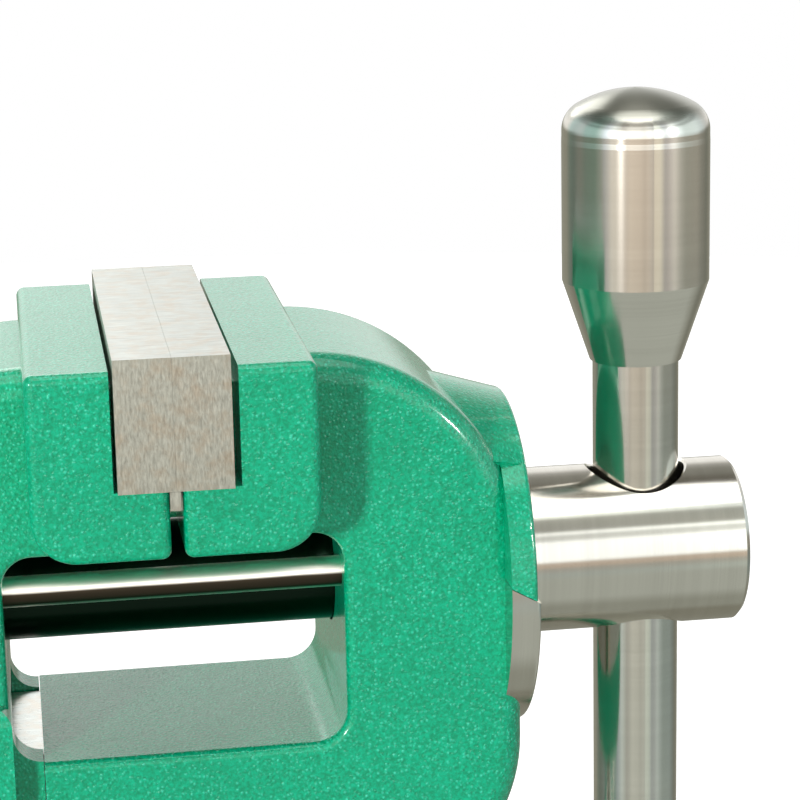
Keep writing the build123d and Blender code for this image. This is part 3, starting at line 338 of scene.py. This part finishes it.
# upright strips all round, each a direction in degrees and a tint; 0 is the front and -90 the left
STRIPS = [
    # behind on the left
    (-150, grey(0.8)), (-135, (0.45, 0.58, 0.60)), (-110, (0.34, 0.40, 0.42)),
    # dark corner on the left
    (-98, (0.20, 0.30, 0.30)), (-80, (0.19, 0.30, 0.29)), (-69, (0.33, 0.42, 0.43)),
    # pale panel beside the key lamp
    (-62, (0.52, 0.60, 0.70)), (-50, (0.86, 0.94, 1.0)), (-43, (0.66, 0.70, 0.72)),
    (-37, grey(0.50)), (-30, grey(0.62)),
    # broad wall in front
    (-22, grey(0.86)), (-6, grey(0.82)), (1, grey(0.70)), (5, grey(0.82)), (10, (0.74, 0.78, 0.82)),
    # dark post, and the bright panel on its right
    (14, (0.41, 0.42, 0.44)), (18, (0.96, 1.0, 1.0)), (25, (0.92, 1.0, 1.0)), (32, (0.50, 0.55, 0.62)),
    # right side, and behind on the right
    (41, (0.56, 0.60, 0.66)), (50, (0.72, 0.80, 0.86)), (60, (0.52, 0.60, 0.64)),
    (70, (0.41, 0.48, 0.50)), (110, (0.42, 0.48, 0.51)), (135, grey(0.6)), (150, grey(0.8))]

# how far the front's bands reach round to each side, and where the strips end towards the ground
FRONT_SIDES = [(-125, grey(0)), (-95, grey(1)), (95, grey(1)), (125, grey(0))]
STRIPS_END, STRIPS_START = -28, -22


def by_height(degrees):
    """Place on a ramp that runs from straight down to straight up."""
    return (degrees + 90.0) / 180.0


def by_direction(degrees):
    """Place on a ramp that runs once round, with the front in its middle."""
    return (degrees + 180.0) / 360.0


def band_stops(bands):
    return [(by_height(degrees), tuple(value / FULL for value in colour)) for degrees, colour in bands]


def strip_stops(strips):
    return [(by_direction(degrees), colour) for degrees, colour in strips]


def make_room():
    """A world that is white to the camera, sheds even light, and shows its bands and strips in metal."""
    world = bpy.data.worlds.new("studio")
    scene.world = world
    w = Tree(world)
    direction = w.add("ShaderNodeTexCoord").outputs["Generated"]
    xyz = w.add("ShaderNodeSeparateXYZ", {"Vector": direction}).outputs
    height = w.rescale(w.math("ARCSINE", xyz["Z"]), source=(-pi / 2, pi / 2))
    forwards = w.math("MULTIPLY", xyz["Y"], -1.0)
    around = w.rescale(w.math("ARCTAN2", xyz["X"], forwards), source=(-pi, pi))
    front = w.ramp(height, band_stops(FRONT_BANDS))
    rear = w.ramp(height, band_stops(REAR_BANDS))
    room = w.mix(w.ramp(around, strip_stops(FRONT_SIDES)), rear, front)
    is_low = w.fade(height, by_height(STRIPS_END), by_height(STRIPS_START), 1.0, 0.0)
    strips = w.mix(is_low, w.ramp(around, strip_stops(STRIPS)), grey(LOW_STRIP))
    room = w.mix(1.0, room, strips, "MULTIPLY")
    even = w.add("ShaderNodeBackground", {"Color": EVEN_LIGHT, "Strength": EVEN_STRENGTH}).outputs[0]
    white = w.add("ShaderNodeBackground", {"Color": grey(1.0), "Strength": 1.0}).outputs[0]
    mirrored = w.add("ShaderNodeBackground", {"Color": room, "Strength": FULL / EVEN_STRIP}).outputs[0]
    ray = w.add("ShaderNodeLightPath").outputs
    shader = w.mix_shaders(ray["Is Glossy Ray"], even, mirrored)
    shader = w.mix_shaders(ray["Is Camera Ray"], shader, white)
    w.add("ShaderNodeOutputWorld", {"Surface": shader})


make_room()

# ---------------------------------------------------------------- floor

FLOOR_RADIUS, FLOOR_SIDES = 1.05, 96
FLOOR_GAP = 0.2 * MM      # under the foot
FLOOR_GLOW = 0.66         # towards the camera only, so that the far part is white too
FLOOR_CLOUDS = 6.0        # per metre


def floor_paint():
    """Matt and pale. Mirrored rays pass through it to the room, whose lower half stands for the floor."""
    material, t = new_material("floor")
    cloud = t.noise(t.here(), FLOOR_CLOUDS)
    tone = t.mix(cloud, srgb(226, 226, 224), srgb(232, 232, 231))
    matt = t.add("ShaderNodeBsdfDiffuse", {"Color": tone}).outputs[0]
    glow = t.add("ShaderNodeEmission", {"Color": grey(1.0), "Strength": FLOOR_GLOW}).outputs[0]
    none = t.add("ShaderNodeEmission", {"Color": grey(0.0), "Strength": 0.0}).outputs[0]
    ray = t.add("ShaderNodeLightPath").outputs
    seen_glow = t.mix_shaders(ray["Is Camera Ray"], none, glow)
    solid = t.add("ShaderNodeAddShader", {0: matt, 1: seen_glow}).outputs[0]
    clear = t.add("ShaderNodeBsdfTransparent").outputs[0]
    shader = t.mix_shaders(ray["Is Glossy Ray"], solid, clear)
    t.add("ShaderNodeOutputMaterial", {"Surface": shader})
    return material


corners = []
for corner in range(FLOOR_SIDES):
    turn = 2 * pi * corner / FLOOR_SIDES
    corners.append((FLOOR_RADIUS * cos(turn), FLOOR_RADIUS * sin(turn), -FLOOR_GAP))
floor_mesh = bpy.data.meshes.new("floor")
floor_mesh.from_pydata(corners, [], [tuple(range(FLOOR_SIDES))])
floor_mesh.materials.append(floor_paint())
floor = bpy.data.objects.new("floor", floor_mesh)
scene.collection.objects.link(floor)

# ---------------------------------------------------------------- lamps

AIM = Vector((75.0, 0.0, 130.0)) * MM      # in the moving jaw's arm, under the spindle
LAMP_DISTANCE, TOP_DISTANCE = 1.3, 1.1


def lamp(name, azimuth, elevation, distance, size, power, colour=(1.0, 1.0, 1.0)):
    """Round lamp that is turned to AIM; azimuth 0 is the front (-Y) and negative is to the left."""
    turn, rise = radians(azimuth), radians(elevation)
    place = AIM + distance * Vector((sin(turn) * cos(rise), -cos(turn) * cos(rise), sin(rise)))
    data = bpy.data.lights.new(name, "AREA")
    data.shape = "DISK"
    data.size = size
    data.energy = power
    data.color = colour
    item = bpy.data.objects.new(name, data)
    item.location = place
    item.rotation_euler = (AIM - place).to_track_quat("-Z", "Y").to_euler()
    scene.collection.objects.link(item)
    return item


lamp("key", azimuth=-35, elevation=9, distance=LAMP_DISTANCE, size=0.13, power=10.5,
     colour=(1.0, 0.99, 0.96))
edge_lamp = lamp("edge", azimuth=46, elevation=17, distance=LAMP_DISTANCE, size=0.10, power=11.0)
edge_lamp.visible_diffuse = False      # it only draws bright lines on metal and gloss
lamp("top", azimuth=10, elevation=82, distance=TOP_DISTANCE, size=0.9, power=5.5)
lamp("back", azimuth=-165, elevation=35, distance=LAMP_DISTANCE, size=0.7, power=3.5)

# ---------------------------------------------------------------- camera

YAW, PITCH, ROLL = radians(8.630), radians(13.651), radians(-1.205)
FOCAL_LENGTH, PICTURE_WIDTH = 2576.5, 800.0      # both in pixels
SENSOR_WIDTH = 36.0
# the camera's place, from the point where the spindle's axis meets the plane between the jaws
EYE = Vector((-19.076, -347.638, 108.506)) * MM

closing_plane = (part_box("fixed_jaw_plate")[HIGH][X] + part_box("moving_jaw_plate")[LOW][X]) / 2
spindle_height = (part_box("spindle")[LOW][Z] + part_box("spindle")[HIGH][Z]) / 2
forward = Vector((sin(YAW) * cos(PITCH), cos(YAW) * cos(PITCH), -sin(PITCH)))
level = Vector((cos(YAW), -sin(YAW), 0.0))
upright = level.cross(forward)
right = level * cos(ROLL) + upright * sin(ROLL)
upward = upright * cos(ROLL) - level * sin(ROLL)
camera_data = bpy.data.cameras.new("camera")
camera_data.sensor_width = SENSOR_WIDTH
camera_data.lens = SENSOR_WIDTH * FOCAL_LENGTH / PICTURE_WIDTH
camera_data.clip_start = 10 * MM
camera = bpy.data.objects.new("camera", camera_data)
turned = Matrix((right, upward, -forward)).transposed()
place = Vector((closing_plane, 0.0, spindle_height)) + EYE
camera.matrix_world = Matrix.Translation(place) @ turned.to_4x4()
scene.collection.objects.link(camera)
scene.camera = camera
scene.view_settings.view_transform = "Standard"
